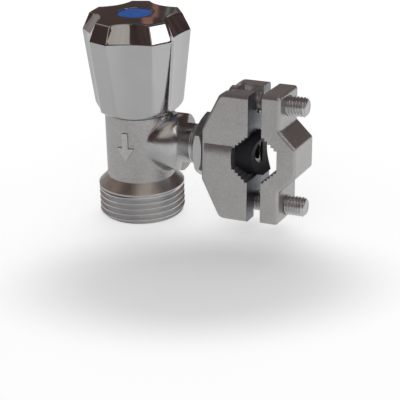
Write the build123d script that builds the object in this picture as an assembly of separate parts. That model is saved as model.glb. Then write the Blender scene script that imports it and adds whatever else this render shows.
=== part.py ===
"""A self-piercing saddle valve: an angle valve with a hand wheel, a two-part pipe clamp and a hollow needle.

The origin is the centre of the outlet's end face. Z runs up the stem, X along the branch, and the pipe that
the clamp holds runs along Y, turned with the clamp about the branch. Sizes are in millimetres.
"""
import os
from math import cos, pi, radians, sin, sqrt, tan

from build123d import *

# Gaps, and lengths that any piece may use
RUN_GAP = 0.05            # radial gap of a shaft in its hole, and of threads drawn as plain cylinders
SEAT_GAP = 0.1            # between faces that meet and part again
HEAD_GAP = 0.4            # around a screw's head, and between faces that never meet
SMALL_CHAMFER = 0.4
PAST = 1.0                # how far a cut runs past a face, or a piece into the one that it joins
FAR = 60.0                # reach of a cut that leaves the part

# Outlet and barrel of the valve body
OUTLET_R = 13.22          # G 3/4 hose thread, outside
OUTLET_LENGTH = 9.8       # threaded length
OUTLET_CHAMFER = 1.0
OUTLET_BORE_R = 9.0
OUTLET_BORE_DEPTH = 7.0
BARREL_R = 10.4
BARREL_TOP = 33.1
ARROW_LENGTH = 9.0        # cast flow arrow on the barrel's front
ARROW_WIDTH = 5.6
ARROW_HEAD = 4.2
ARROW_SHAFT = 1.9
ARROW_RELIEF = 0.35

# Branch, with the threaded tail that carries the clamp
BRANCH_Z = 24.2
BOSS_R = 8.75
BOSS_END = 15.2
BOSS_BLEND = 1.6
TAIL_R = 6.0              # M12 x 1.25, outside
TAIL_END = 28.4
TAIL_CHAMFER = 0.8
BRANCH_BORE_R = 2.7

# Seat, chamber and headwork
SEAT_Z = 17.7
SEAT_LIP = 1.2
SEAT_WIDTH = 1.0
THROAT_R = 4.6
THROAT_LENGTH = 4.2
CHAMBER_R = 7.1
BONNET_R = 8.0            # thread in the barrel's top
BONNET_DEPTH = 5.4        # how far it reaches into the barrel
BONNET_HEX = 16.0         # across flats
BONNET_HEX_HEIGHT = 4.2
BONNET_NECK_R = 6.2
BONNET_NECK_HEIGHT = 5.1
BONNET_GASKET = 0.8       # thickness
GASKET_RING_R = 9.2
LIFT = 2.6                # how far the spindle rises
SPINDLE_THREAD_R = 5.0
SPINDLE_THREAD_LENGTH = 7.0
SPINDLE_OVERHANG = 2.5    # below the bonnet, with the valve closed
STEM_R = 4.0
SEAL_THICKNESS = 1.36     # section of an O-ring
SEAL_SPACING = 2.0
SEAL_MARGIN = 0.5         # from the stem bore's lower end to the first ring
CIRCLIP_THICKNESS = 0.8
CIRCLIP_R = 5.2
CIRCLIP_GAP = 2.6         # its open side
GROOVE_DEPTH = 0.85
SPLINE_TEETH = 18
SPLINE_DEPTH = 0.5
SPLINE_TIP = 0.18         # half widths of a tooth, as shares of the teeth's spacing
SPLINE_ROOT = 0.30

# Jumper with its seat washer
JUMPER_R = 5.6
JUMPER_THICKNESS = 2.0
JUMPER_STEM_R = 2.4
JUMPER_STEM_DEPTH = 5.6   # inside the spindle
WASHER_THICKNESS = 2.0
STUD_R = 1.5
WASHER_NUT_HEX = 5.5
WASHER_NUT_HEIGHT = 1.9

# Hand wheel: five wide hollow facets between five narrow corner facets
KNOB_GAP = 0.4            # above the barrel
KNOB_HEIGHT = 30.1
KNOB_BEVEL = 5.8          # height of the top bevel
KNOB_RIM_R = 16.6         # to the corners
KNOB_TOP_R = 13.4
KNOB_TAPER = 6.45         # degrees, each side
KNOB_CORNERS = 5
KNOB_CORNER_SPAN = 23.2   # degrees that a narrow facet spans
KNOB_HOLLOW = 1.15        # depth of a wide facet's curve
KNOB_AZIMUTH = -36.5      # of one corner facet, with the valve closed
KNOB_FOOT_R = 11.0
KNOB_FOOT_HEIGHT = 6.2    # height of the rounding at the bottom
KNOB_DOME = 0.5
KNOB_CAVITY_R = 9.6
KNOB_ROOF = 9.0           # thickness above the hollow skirt
KNOB_HUB_R = 6.5
DISC_R = 5.2
DISC_THICKNESS = 1.2
DISC_DOME = 0.35
KNOB_SCREW_R = 2.0
KNOB_SCREW_HEAD_R = 3.5
KNOB_SCREW_HEAD = 2.6
KNOB_SCREW_LENGTH = 10.0
KNOB_SCREW_DEPTH = 6.1    # its seat, below the hand wheel's top
KNOB_SCREW_SLOT = 1.0
HUB_FLOOR = 4.5           # metal between the screw's seat and the spindle's end

# Needle and saddle gasket
NEEDLE_R = 3.15
NEEDLE_BORE_R = 2.2
NEEDLE_TIP = 39.6
NEEDLE_TAIL = 6.0         # length inside the tail
NEEDLE_COLLAR_R = 5.4
NEEDLE_COLLAR = 1.0
NEEDLE_MOUTH_R = 5.4      # radius of the cut across the tip
GASKET_R = 6.8
GASKET_BACK = 32.6
SADDLE_MIDDLE = 39.2
SADDLE_R = 8.05           # for a pipe of 16 mm
SADDLE_HORN = 42.6
HORN_CHAMFER = 1.5

# Clamp; heights are from the branch axis
SCREW_MARGIN = 4.0        # from a screw's axis to the block's end
CLAMP_TURN = -4.2         # degrees about the branch, as the clamp was left
BLOCK_LEFT = 24.4
BLOCK_RIGHT = 39.1
BLOCK_DEPTH = 18.8
BLOCK_HALF_HEIGHT = 19.4
BLOCK_BACK_HALF = 7.8     # half height of its left face
BLOCK_TOP_LEFT = 30.1
BLOCK_BULGE_R = 10.1
BLOCK_CORNER_R = 2.4
BLOCK_EDGE_R = 1.1
JAW_LEFT = 42.8
JAW_LUG = 5.6
JAW_NOSE = 5.1            # how far the nose stands out from the lugs
JAW_DEPTH = 15.8
JAW_OVERHANG = 0.3        # the lugs reach this much past the block's ears
JAW_HALF_HEIGHT = BLOCK_HALF_HEIGHT + JAW_OVERHANG
JAW_NOSE_HALF = 4.6
JAW_NOSE_FOOT = 9.5
JAW_EDGE_R = 1.1
NOTCH_MOUTH = 6.9         # half heights of the pipe notch
NOTCH_FLOOR = 2.5
NOTCH_DEPTH = 4.9
NOTCH_TEETH = 5
SCREW_Z = BLOCK_HALF_HEIGHT - SCREW_MARGIN
SCREW_R = 3.0             # M6
SCREW_END_UPPER = 54.3
SCREW_END_LOWER = 54.6
SCREW_CHAMFER = 0.8
SCREW_SEAT_X = 33.0
SCREW_HEAD_R = 4.1
SCREW_HEAD = 3.0
SCREW_HEAD_SLOT = 1.4
EAR_SLOT = 6.6
EAR_POCKET_R = 5.2

# Lock nut on the tail
NUT_HEX = 18.0
NUT_LEFT = 21.5
NUT_THICKNESS = 2.8
NUT_TURN = -5.5           # degrees about the branch

# Places that follow from the sizes above
KNOB_BOTTOM = BARREL_TOP + KNOB_GAP
KNOB_TOP = KNOB_BOTTOM + KNOB_HEIGHT
KNOB_RIM = KNOB_TOP - KNOB_BEVEL
KNOB_CEILING = KNOB_TOP - KNOB_ROOF
KNOB_SCREW_SEAT = KNOB_TOP - KNOB_SCREW_DEPTH
SPINDLE_TOP = KNOB_SCREW_SEAT - HUB_FLOOR
BONNET_BOTTOM = BARREL_TOP - BONNET_DEPTH
HEX_BOTTOM = BARREL_TOP + BONNET_GASKET
NECK_BOTTOM = HEX_BOTTOM + BONNET_HEX_HEIGHT
BONNET_TOP = NECK_BOTTOM + BONNET_NECK_HEIGHT
SPINDLE_BOTTOM = BONNET_BOTTOM - SPINDLE_OVERHANG
SPINDLE_THREAD_TOP = SPINDLE_BOTTOM + SPINDLE_THREAD_LENGTH
STEM_BORE_LOW = SPINDLE_THREAD_TOP + LIFT + HEAD_GAP
SEAL_R = SEAL_THICKNESS / 2
SEAL_LOW = STEM_BORE_LOW + SEAL_MARGIN + SEAL_R
CIRCLIP_LOW = BONNET_TOP + SEAT_GAP
SPLINE_LOW = CIRCLIP_LOW + CIRCLIP_THICKNESS + HEAD_GAP
WASHER_LOW = SEAT_Z + SEAT_GAP
JUMPER_LOW = WASHER_LOW + WASHER_THICKNESS
JUMPER_TOP = SPINDLE_BOTTOM + JUMPER_STEM_DEPTH
COLLAR_LEFT = TAIL_END + RUN_GAP
ON_BRANCH = Pos(0, 0, BRANCH_Z)
ON_CLAMP = ON_BRANCH * Rot(CLAMP_TURN, 0, 0)
ALONG_X = Rot(0, 90, 0)


def turned_about_z(points):
    """Solid of revolution from (radius, height) points."""
    return revolve(make_face(Polyline([(-r, 0, z) for r, z in points], close=True)), Axis.Z)


def tube(radius, bore, low, high):
    """Ring about Z."""
    return turned_about_z([(bore, low), (radius, low), (radius, high), (bore, high)])


def rod(radius, low, high):
    """Plain cylinder about Z."""
    return Pos(0, 0, low) * Cylinder(radius, high - low, align=(Align.CENTER, Align.CENTER, Align.MIN))


def rod_x(radius, left, right, z=0.0):
    """Plain cylinder along X, at a height above the branch axis."""
    return Pos(left, 0, z) * ALONG_X * rod(radius, 0, right - left)


def hexagon(across_flats, low, high):
    """Hexagonal prism about Z, with its corners turned off at 30 degrees at both ends."""
    flat = across_flats / 2
    corner = flat / cos(pi / 6)
    drop = (corner - flat) * tan(pi / 6)
    prism = Pos(0, 0, low) * extrude(RegularPolygon(corner, 6), high - low)
    side = [(corner, low + drop), (corner, high - drop)]
    return prism & turned_about_z([(0, low), (flat, low)] + side + [(flat, high), (0, high)])


def flow_arrow():
    """Raised arrow that points down the barrel, on its front."""
    half = ARROW_LENGTH / 2
    neck = ARROW_HEAD - half
    outline = Polyline(
        [
            (0, -half),
            (ARROW_WIDTH / 2, neck),
            (ARROW_SHAFT / 2, neck),
            (ARROW_SHAFT / 2, half),
            (-ARROW_SHAFT / 2, half),
            (-ARROW_SHAFT / 2, neck),
            (-ARROW_WIDTH / 2, neck),
        ],
        close=True,
    )
    plate = extrude(Plane.XZ * make_face(outline), BARREL_R + PAST)
    shell = tube(BARREL_R + ARROW_RELIEF, BARREL_R - 2 * ARROW_RELIEF, -ARROW_LENGTH, ARROW_LENGTH)
    return ON_BRANCH * (plate & shell)


def valve_body():
    """Cast body: threaded outlet, cone, barrel, branch boss and threaded tail, with the water way inside."""
    cone = OUTLET_R - BARREL_R
    outside = turned_about_z(
        [
            (0, 0),
            (OUTLET_R - OUTLET_CHAMFER, 0),
            (OUTLET_R, OUTLET_CHAMFER),
            (OUTLET_R, OUTLET_LENGTH),
            (BARREL_R, OUTLET_LENGTH + cone),
            (BARREL_R, BARREL_TOP + BOSS_R),
            (0, BARREL_TOP + BOSS_R),
        ]
    )
    body = outside + ON_BRANCH * rod_x(BOSS_R, 0, BOSS_END)
    meeting = [edge for edge in body.edges() if edge.geom_type not in (GeomType.LINE, GeomType.CIRCLE)]
    body = fillet(meeting, BOSS_BLEND) - rod(BARREL_R + BOSS_R, BARREL_TOP, BARREL_TOP + FAR)
    tail = chamfer(rod_x(TAIL_R, BOSS_END - PAST, TAIL_END).edges().group_by(Axis.X)[-1], TAIL_CHAMFER)
    body = body + ON_BRANCH * tail + flow_arrow()
    throat_low = SEAT_Z - THROAT_LENGTH
    seat_foot = SEAT_Z - SEAT_LIP
    bonnet_hole = BONNET_R + RUN_GAP
    water_way = turned_about_z(
        [
            (0, -PAST),
            (OUTLET_BORE_R, -PAST),
            (OUTLET_BORE_R, OUTLET_BORE_DEPTH),
            (THROAT_R, throat_low),
            (THROAT_R, SEAT_Z),
            (THROAT_R + SEAT_WIDTH, SEAT_Z),
            (THROAT_R + SEAT_WIDTH, seat_foot),
            (CHAMBER_R, seat_foot),
            (CHAMBER_R, BONNET_BOTTOM - SEAT_GAP),
            (bonnet_hole, BONNET_BOTTOM - SEAT_GAP),
            (bonnet_hole, BARREL_TOP + PAST),
            (0, BARREL_TOP + PAST),
        ]
    )
    branch_bore = rod_x(BRANCH_BORE_R, 0, TAIL_END)
    needle_hole = rod_x(NEEDLE_R + RUN_GAP, COLLAR_LEFT - NEEDLE_TAIL - PAST, TAIL_END + PAST)
    return body - water_way - ON_BRANCH * branch_bore - ON_BRANCH * needle_hole


def headwork_bonnet():
    """Brass bonnet: threaded skirt, hexagon and neck, bored for the spindle's thread and stem."""
    skirt = rod(BONNET_R, BONNET_BOTTOM, HEX_BOTTOM)
    neck = chamfer(rod(BONNET_NECK_R, NECK_BOTTOM, BONNET_TOP).edges().group_by(Axis.Z)[-1], SMALL_CHAMFER)
    bonnet = skirt + hexagon(BONNET_HEX, HEX_BOTTOM, NECK_BOTTOM) + neck
    thread_bore = rod(SPINDLE_THREAD_R, BONNET_BOTTOM - PAST, STEM_BORE_LOW)
    return bonnet - thread_bore - rod(STEM_R, STEM_BORE_LOW - PAST, BONNET_TOP + PAST)


def bonnet_gasket():
    """Flat ring between the barrel's top and the bonnet's hexagon."""
    return tube(GASKET_RING_R, BONNET_R + 2 * RUN_GAP, BARREL_TOP, HEX_BOTTOM)


def spline(radius, low, high):
    """Splined bar: straight-sided teeth around Z."""
    step = 2 * pi / SPLINE_TEETH
    root = radius - SPLINE_DEPTH
    flanks = ((-SPLINE_ROOT, root), (-SPLINE_TIP, radius), (SPLINE_TIP, radius), (SPLINE_ROOT, root))
    points = []
    for tooth in range(SPLINE_TEETH):
        for share, r in flanks:
            angle = (tooth + share) * step
            points.append((r * cos(angle), r * sin(angle)))
    return Pos(0, 0, low) * extrude(make_face(Polyline(points, close=True)), high - low)


def spindle():
    """Rising spindle: threaded collar, grooved stem, splined top, and a socket below for the jumper."""
    stem = STEM_R - RUN_GAP
    solid = rod(SPINDLE_THREAD_R - RUN_GAP, SPINDLE_BOTTOM, SPINDLE_THREAD_TOP)
    solid = solid + rod(stem, SPINDLE_THREAD_TOP - PAST, SPLINE_LOW)
    solid = solid + spline(stem - RUN_GAP, SPLINE_LOW - SEAT_GAP, SPINDLE_TOP)
    groove = STEM_R - SEAL_THICKNESS - 2 * RUN_GAP
    for place in (SEAL_LOW, SEAL_LOW + SEAL_SPACING):
        solid = solid - tube(STEM_R + PAST, groove, place - SEAL_R - RUN_GAP, place + SEAL_R + RUN_GAP)
    clip_high = CIRCLIP_LOW + CIRCLIP_THICKNESS
    solid = solid - tube(STEM_R + PAST, stem - GROOVE_DEPTH, CIRCLIP_LOW - RUN_GAP, clip_high + RUN_GAP)
    socket = rod(JUMPER_STEM_R + RUN_GAP, SPINDLE_BOTTOM - PAST, JUMPER_TOP + SEAT_GAP)
    hole_low = KNOB_SCREW_SEAT - KNOB_SCREW_LENGTH - SEAT_GAP
    screw_hole = rod(KNOB_SCREW_R + RUN_GAP, hole_low, SPINDLE_TOP + PAST)
    return solid - socket - screw_hole


def spindle_seal(place):
    """O-ring in its groove on the stem."""
    centre = STEM_R - RUN_GAP - SEAL_R
    return Pos(0, 0, place) * Torus(centre, SEAL_R - RUN_GAP / 2)


def spindle_circlip():
    """Open ring in the stem's upper groove."""
    inner = STEM_R - GROOVE_DEPTH
    ring = tube(CIRCLIP_R, inner, CIRCLIP_LOW, CIRCLIP_LOW + CIRCLIP_THICKNESS)
    return ring - Pos(-CIRCLIP_R, 0, CIRCLIP_LOW) * Box(2 * CIRCLIP_R, CIRCLIP_GAP, 4 * CIRCLIP_THICKNESS)


def jumper():
    """Washer holder: a disc with a stem that turns in the spindle and a stud for the washer's nut."""
    disc = rod(JUMPER_R, JUMPER_LOW, JUMPER_LOW + JUMPER_THICKNESS)
    disc = chamfer(disc.edges().group_by(Axis.Z)[-1], SMALL_CHAMFER)
    stem = rod(JUMPER_STEM_R, JUMPER_LOW + PAST, JUMPER_TOP)
    stud = rod(STUD_R, WASHER_LOW - WASHER_NUT_HEIGHT, JUMPER_LOW + PAST)
    return disc + stem + stud


def seat_washer():
    """Rubber washer that closes on the seat."""
    return tube(JUMPER_R, STUD_R + RUN_GAP, WASHER_LOW, JUMPER_LOW)


def washer_nut():
    """Small nut below the washer."""
    nut = hexagon(WASHER_NUT_HEX, WASHER_LOW - WASHER_NUT_HEIGHT, WASHER_LOW)
    return nut - rod(STUD_R + RUN_GAP, SEAT_Z - FAR, SEAT_Z + FAR)


def knob_section(radius, height):
    """Hand wheel's outline at one height: hollow arcs between narrow straight corners."""
    step = 360 / KNOB_CORNERS
    half = KNOB_CORNER_SPAN / 2
    facet_middle = radius * cos(radians(step / 2 - half)) - KNOB_HOLLOW * radius / KNOB_RIM_R

    def at(angle, r=radius):
        turn = radians(KNOB_AZIMUTH + angle)
        return (r * cos(turn), r * sin(turn), height)

    edges = []
    for corner in range(KNOB_CORNERS):
        start = corner * step
        edges.append(Line(at(start - half), at(start + half)))
        hollow = at(start + step / 2, facet_middle)
        edges.append(ThreePointArc(at(start + half), hollow, at(start + step - half)))
    return Face(Wire(edges))


def handwheel_knob():
    """Cast hand wheel: tapered faceted grip, bevelled and domed top, hollow skirt and splined hub."""
    foot_r = KNOB_RIM_R - (KNOB_RIM - KNOB_BOTTOM) * tan(radians(KNOB_TAPER))
    foot = knob_section(foot_r, KNOB_BOTTOM)
    rim = knob_section(KNOB_RIM_R, KNOB_RIM)
    crown = knob_section(KNOB_TOP_R, KNOB_TOP)
    grip = loft([foot, rim], ruled=True) + loft([rim, crown], ruled=True)
    round_top = KNOB_BOTTOM + KNOB_FOOT_HEIGHT
    wide = KNOB_RIM_R + PAST
    knee = foot_r + KNOB_FOOT_HEIGHT * tan(radians(KNOB_TAPER)) + 2 * SEAT_GAP
    arc_r = KNOB_FOOT_R + (knee - KNOB_FOOT_R) * sin(pi / 4)
    arc_middle = (arc_r, 0, round_top - KNOB_FOOT_HEIGHT * cos(pi / 4))
    shoulder = KNOB_TOP - KNOB_DOME
    envelope_line = [
        Line((0, 0, KNOB_BOTTOM), (KNOB_FOOT_R, 0, KNOB_BOTTOM)),
        ThreePointArc((KNOB_FOOT_R, 0, KNOB_BOTTOM), arc_middle, (knee, 0, round_top)),
        Line((knee, 0, round_top), (wide, 0, KNOB_RIM)),
        Line((wide, 0, KNOB_RIM), (wide, 0, shoulder)),
        ThreePointArc((wide, 0, shoulder), (wide / 2, 0, KNOB_TOP - KNOB_DOME / 4), (0, 0, KNOB_TOP)),
        Line((0, 0, KNOB_TOP), (0, 0, KNOB_BOTTOM)),
    ]
    envelope = revolve(Face(Wire(envelope_line)), Axis.Z)
    grip = grip & envelope
    cavity = tube(KNOB_CAVITY_R, KNOB_HUB_R, KNOB_BOTTOM - PAST, KNOB_CEILING)
    below_hub = rod(KNOB_HUB_R + PAST, KNOB_BOTTOM - PAST, SPLINE_LOW)
    socket = spline(STEM_R - RUN_GAP, SPLINE_LOW - PAST, SPINDLE_TOP + SEAT_GAP)
    screw_way = rod(KNOB_SCREW_R + 2 * RUN_GAP, SPINDLE_TOP, KNOB_TOP)
    head_way = rod(KNOB_SCREW_HEAD_R + HEAD_GAP, KNOB_SCREW_SEAT, KNOB_TOP)
    disc_way = rod(DISC_R + 2 * RUN_GAP, KNOB_TOP - DISC_THICKNESS, KNOB_TOP + PAST)
    return grip - cavity - below_hub - socket - screw_way - head_way - disc_way


def index_disc():
    """Blue disc that snaps into the hand wheel's top, slightly domed."""
    dome_r = (DISC_R**2 + DISC_DOME**2) / (2 * DISC_DOME)
    disc = rod(DISC_R, KNOB_TOP - DISC_THICKNESS, KNOB_TOP)
    return disc & Pos(0, 0, KNOB_TOP - dome_r) * Sphere(dome_r)


def knob_screw():
    """Slotted screw that holds the hand wheel on the spindle."""
    head_top = KNOB_SCREW_SEAT + KNOB_SCREW_HEAD
    head = rod(KNOB_SCREW_HEAD_R, KNOB_SCREW_SEAT, head_top)
    head = chamfer(head.edges().group_by(Axis.Z)[-1], SMALL_CHAMFER)
    shank = rod(KNOB_SCREW_R, KNOB_SCREW_SEAT - KNOB_SCREW_LENGTH, KNOB_SCREW_SEAT + PAST)
    slot = Pos(0, 0, head_top) * Box(3 * KNOB_SCREW_HEAD_R, KNOB_SCREW_SLOT, KNOB_SCREW_HEAD)
    return head + shank - slot


def piercing_needle():
    """Hollow needle along X: shank in the tail, collar at the tail's end, and a tip cut to two points."""
    shank_left = COLLAR_LEFT - NEEDLE_TAIL
    collar = rod_x(NEEDLE_COLLAR_R, COLLAR_LEFT, COLLAR_LEFT + NEEDLE_COLLAR)
    needle = rod_x(NEEDLE_R, shank_left, NEEDLE_TIP) + collar
    mouth_centre = NEEDLE_TIP + sqrt(NEEDLE_MOUTH_R**2 - NEEDLE_R**2)
    mouth = Pos(mouth_centre, 0, 0) * Rot(90, 0, 0) * Cylinder(NEEDLE_MOUTH_R, 4 * NEEDLE_R)
    return ON_CLAMP * (needle - mouth - rod_x(NEEDLE_BORE_R, shank_left - PAST, NEEDLE_TIP + PAST))


def saddle_gasket():
    """Thick rubber seal around the needle, hollowed to a pipe's curve, with its two horns bevelled."""
    horn = SADDLE_HORN - GASKET_BACK
    disc = rod_x(GASKET_R, GASKET_BACK + RUN_GAP, SADDLE_HORN)
    pipe_x = SADDLE_MIDDLE + SADDLE_R
    saddle = Pos(pipe_x, 0, 0) * Rot(90, 0, 0) * Cylinder(SADDLE_R, 4 * GASKET_R)
    side = GASKET_R - HORN_CHAMFER
    wedge = Plane.XZ * make_face(
        Polyline(
            [
                (SADDLE_HORN - HORN_CHAMFER, GASKET_R),
                (SADDLE_HORN, side),
                (SADDLE_HORN + horn, side),
                (SADDLE_HORN + horn, GASKET_R + horn),
                (SADDLE_HORN - HORN_CHAMFER, GASKET_R + horn),
            ],
            close=True,
        )
    )
    bevel = extrude(wedge, 2 * GASKET_R, both=True)
    needle_hole = rod_x(NEEDLE_R + RUN_GAP, GASKET_BACK - PAST, SADDLE_HORN + PAST)
    return ON_CLAMP * (disc - saddle - bevel - mirror(bevel, Plane.XY) - needle_hole)


def serrated_flank(mouth_x, floor_x):
    """Stepped teeth from the notch's mouth to its floor."""
    points = [(mouth_x, NOTCH_MOUTH)]
    for tooth in range(NOTCH_TEETH):
        z = NOTCH_MOUTH + (NOTCH_FLOOR - NOTCH_MOUTH) * tooth / NOTCH_TEETH
        next_z = NOTCH_MOUTH + (NOTCH_FLOOR - NOTCH_MOUTH) * (tooth + 1) / NOTCH_TEETH
        x = mouth_x + (floor_x - mouth_x) * (tooth + 1) / NOTCH_TEETH
        points += [(x, z), (x, next_z)]
    return points


def pipe_notch(mouth_x, floor_x):
    """Cut for the pipe, along Y, with serrated flanks."""
    upper = serrated_flank(mouth_x, floor_x)
    lower = [(x, -z) for x, z in reversed(upper)]
    outside = mouth_x + (PAST if mouth_x > floor_x else -PAST)
    points = [(outside, NOTCH_MOUTH)] + upper + lower + [(outside, -NOTCH_MOUTH)]
    return extrude(Plane.XZ * make_face(Polyline(points, close=True)), BLOCK_DEPTH, both=True)


def rounded_plate(points, depth, corner_r, edge_r, sharp_x):
    """Plate with this front outline, rounded all over apart from the sharp face at sharp_x."""
    plate = extrude(Plane.XZ * make_face(Polyline(points, close=True)), depth / 2, both=True)
    corners = [edge for edge in plate.edges().filter_by(Axis.Y) if abs(edge.center().X - sharp_x) > PAST]
    plate = fillet(corners, corner_r)
    rims = [edge for face in plate.faces().filter_by(Axis.Y) for edge in face.edges()]
    return fillet([edge for edge in rims if abs(edge.center().X - sharp_x) > PAST], edge_r)


def clamp_block():
    """Left half of the clamp: threaded hub, serrated notch, gasket seat and forked ears for the screws."""
    outline = [
        (BLOCK_LEFT, -BLOCK_BACK_HALF),
        (BLOCK_LEFT, BLOCK_BACK_HALF),
        (BLOCK_TOP_LEFT, BLOCK_HALF_HEIGHT),
        (BLOCK_RIGHT, BLOCK_HALF_HEIGHT),
        (BLOCK_RIGHT, -BLOCK_HALF_HEIGHT),
        (BLOCK_TOP_LEFT, -BLOCK_HALF_HEIGHT),
    ]
    plate = rounded_plate(outline, BLOCK_DEPTH, BLOCK_CORNER_R, BLOCK_EDGE_R, BLOCK_RIGHT)
    bulge = rod_x(BLOCK_BULGE_R, BLOCK_LEFT + BLOCK_EDGE_R, BLOCK_RIGHT - BLOCK_EDGE_R)
    block = plate + bulge - pipe_notch(BLOCK_RIGHT, BLOCK_RIGHT - NOTCH_DEPTH)
    block = block - rod_x(TAIL_R + RUN_GAP, BLOCK_LEFT - PAST, GASKET_BACK + PAST)
    block = block - rod_x(GASKET_R + RUN_GAP, GASKET_BACK, BLOCK_RIGHT + PAST)
    for side in (1, -1):
        lift = side * (SCREW_Z + FAR / 2)
        slot = rod_x(EAR_SLOT / 2, SCREW_SEAT_X - PAST, BLOCK_RIGHT + PAST, side * SCREW_Z)
        slot = slot + Pos(BLOCK_RIGHT, 0, lift) * Box(4 * SCREW_HEAD_R, EAR_SLOT, FAR)
        pocket = rod_x(EAR_POCKET_R, BLOCK_LEFT - PAST, SCREW_SEAT_X, side * SCREW_Z)
        open_side = Box(FAR, 2 * EAR_POCKET_R, FAR, align=(Align.MAX, Align.CENTER, Align.CENTER))
        block = block - slot - pocket - Pos(SCREW_SEAT_X, 0, lift) * open_side
    return ON_CLAMP * block


def clamp_jaw():
    """Right half of the clamp: a nose over the serrated notch, between two tapped lugs."""
    lug_right = JAW_LEFT + JAW_LUG
    nose_right = lug_right + JAW_NOSE
    outline = [
        (JAW_LEFT, -JAW_HALF_HEIGHT),
        (JAW_LEFT, JAW_HALF_HEIGHT),
        (lug_right, JAW_HALF_HEIGHT),
        (lug_right, JAW_NOSE_FOOT),
        (nose_right, JAW_NOSE_HALF),
        (nose_right, -JAW_NOSE_HALF),
        (lug_right, -JAW_NOSE_FOOT),
        (lug_right, -JAW_HALF_HEIGHT),
    ]
    jaw = rounded_plate(outline, JAW_DEPTH, JAW_EDGE_R, JAW_EDGE_R, JAW_LEFT)
    jaw = jaw - pipe_notch(JAW_LEFT, JAW_LEFT + NOTCH_DEPTH)
    for side in (1, -1):
        jaw = jaw - rod_x(SCREW_R + RUN_GAP, JAW_LEFT - PAST, lug_right + PAST, side * SCREW_Z)
    return ON_CLAMP * jaw


def clamp_screw(side, end):
    """Slotted cheese-head screw, from the block's ear through the jaw's lug."""
    z = side * SCREW_Z
    shank = rod_x(SCREW_R, SCREW_SEAT_X - PAST, end, z)
    shank = chamfer(shank.edges().group_by(Axis.X)[-1], SCREW_CHAMFER)
    head_left = SCREW_SEAT_X - SCREW_HEAD
    head = rod_x(SCREW_HEAD_R, head_left, SCREW_SEAT_X, z)
    head = chamfer(head.edges().group_by(Axis.X)[0], SCREW_CHAMFER / 2)
    slot = Pos(head_left, 0, z) * Box(SCREW_HEAD, 3 * SCREW_HEAD_R, SCREW_HEAD_SLOT)
    return ON_CLAMP * (shank + head - slot)


def lock_nut():
    """Thin hexagon nut on the tail, locked against the block."""
    nut = hexagon(NUT_HEX, 0, NUT_THICKNESS) - rod(TAIL_R + RUN_GAP, -PAST, NUT_THICKNESS + PAST)
    upright = Rot(NUT_TURN, 0, 0) * ALONG_X
    return ON_BRANCH * Pos(NUT_LEFT, 0, 0) * upright * nut


PIECES = {
    "valve_body": valve_body(),
    "headwork_bonnet": headwork_bonnet(),
    "bonnet_gasket": bonnet_gasket(),
    "spindle": spindle(),
    "spindle_seal_lower": spindle_seal(SEAL_LOW),
    "spindle_seal_upper": spindle_seal(SEAL_LOW + SEAL_SPACING),
    "spindle_circlip": spindle_circlip(),
    "jumper": jumper(),
    "seat_washer": seat_washer(),
    "washer_nut": washer_nut(),
    "handwheel_knob": handwheel_knob(),
    "index_disc": index_disc(),
    "knob_screw": knob_screw(),
    "piercing_needle": piercing_needle(),
    "saddle_gasket": saddle_gasket(),
    "clamp_block": clamp_block(),
    "clamp_jaw": clamp_jaw(),
    "upper_clamp_screw": clamp_screw(1, SCREW_END_UPPER),
    "lower_clamp_screw": clamp_screw(-1, SCREW_END_LOWER),
    "lock_nut": lock_nut(),
}

os.makedirs("parts", exist_ok=True)
for name, piece in PIECES.items():
    export_step(piece, f"parts/{name}.step")
    print(f"{name}: {piece.volume:.0f} cubic mm")
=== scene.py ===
"""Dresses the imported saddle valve: cut threads, hand wheel, plated finishes, a pale studio and the camera.

Sizes are in metres. The origin is the centre of the outlet's end face, with Z up the stem and X along the
branch.
"""

from math import asin, ceil, cos, floor, pi, radians, sin, sqrt, tan

import bmesh
import bpy
import numpy as np
from mathutils import Matrix, Vector


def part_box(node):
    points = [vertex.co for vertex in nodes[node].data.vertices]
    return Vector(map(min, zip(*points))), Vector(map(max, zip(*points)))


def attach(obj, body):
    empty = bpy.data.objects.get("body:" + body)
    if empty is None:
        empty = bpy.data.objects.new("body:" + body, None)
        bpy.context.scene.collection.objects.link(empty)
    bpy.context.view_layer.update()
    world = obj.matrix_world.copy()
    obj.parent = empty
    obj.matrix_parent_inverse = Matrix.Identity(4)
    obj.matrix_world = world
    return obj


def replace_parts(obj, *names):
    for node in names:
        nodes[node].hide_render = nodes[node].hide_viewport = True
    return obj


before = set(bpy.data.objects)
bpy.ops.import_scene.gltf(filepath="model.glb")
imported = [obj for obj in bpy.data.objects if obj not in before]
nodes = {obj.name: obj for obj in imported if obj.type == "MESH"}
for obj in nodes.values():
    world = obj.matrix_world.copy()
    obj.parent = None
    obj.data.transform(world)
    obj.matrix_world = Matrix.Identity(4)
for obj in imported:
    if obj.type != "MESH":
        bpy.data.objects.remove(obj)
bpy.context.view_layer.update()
MM = 0.001
MERGE_GAP, LEAST_EDGE = 1e-7, 1e-8      # points this close become one, and shorter edges go

# Places that the solids share with this dress
BRANCH_Z = 24.2 * MM
CLAMP_TURN = radians(-4.2)
OUTLET_R = 13.22 * MM
OUTLET_LENGTH = 9.8 * MM
BARREL_R = 10.4 * MM
CONE_HEIGHT = OUTLET_R - BARREL_R      # a slope of 45 degrees
ARROW_R = BARREL_R + 0.35 * MM
BOSS_R, BOSS_END = 8.75 * MM, 15.2 * MM
TAIL_R = 6.0 * MM
TAIL_END = 28.4 * MM
TAIL_NECK = 3.6 * MM        # smooth length between the boss and the tail's thread
SCREW_R = 3.0 * MM
BLOCK_RIGHT, JAW_LEFT, MATING_SLACK = 39.1 * MM, 42.8 * MM, 0.1 * MM
SCREW_SEAT_X = 33.0 * MM
SCREW_Z = 15.4 * MM

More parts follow.
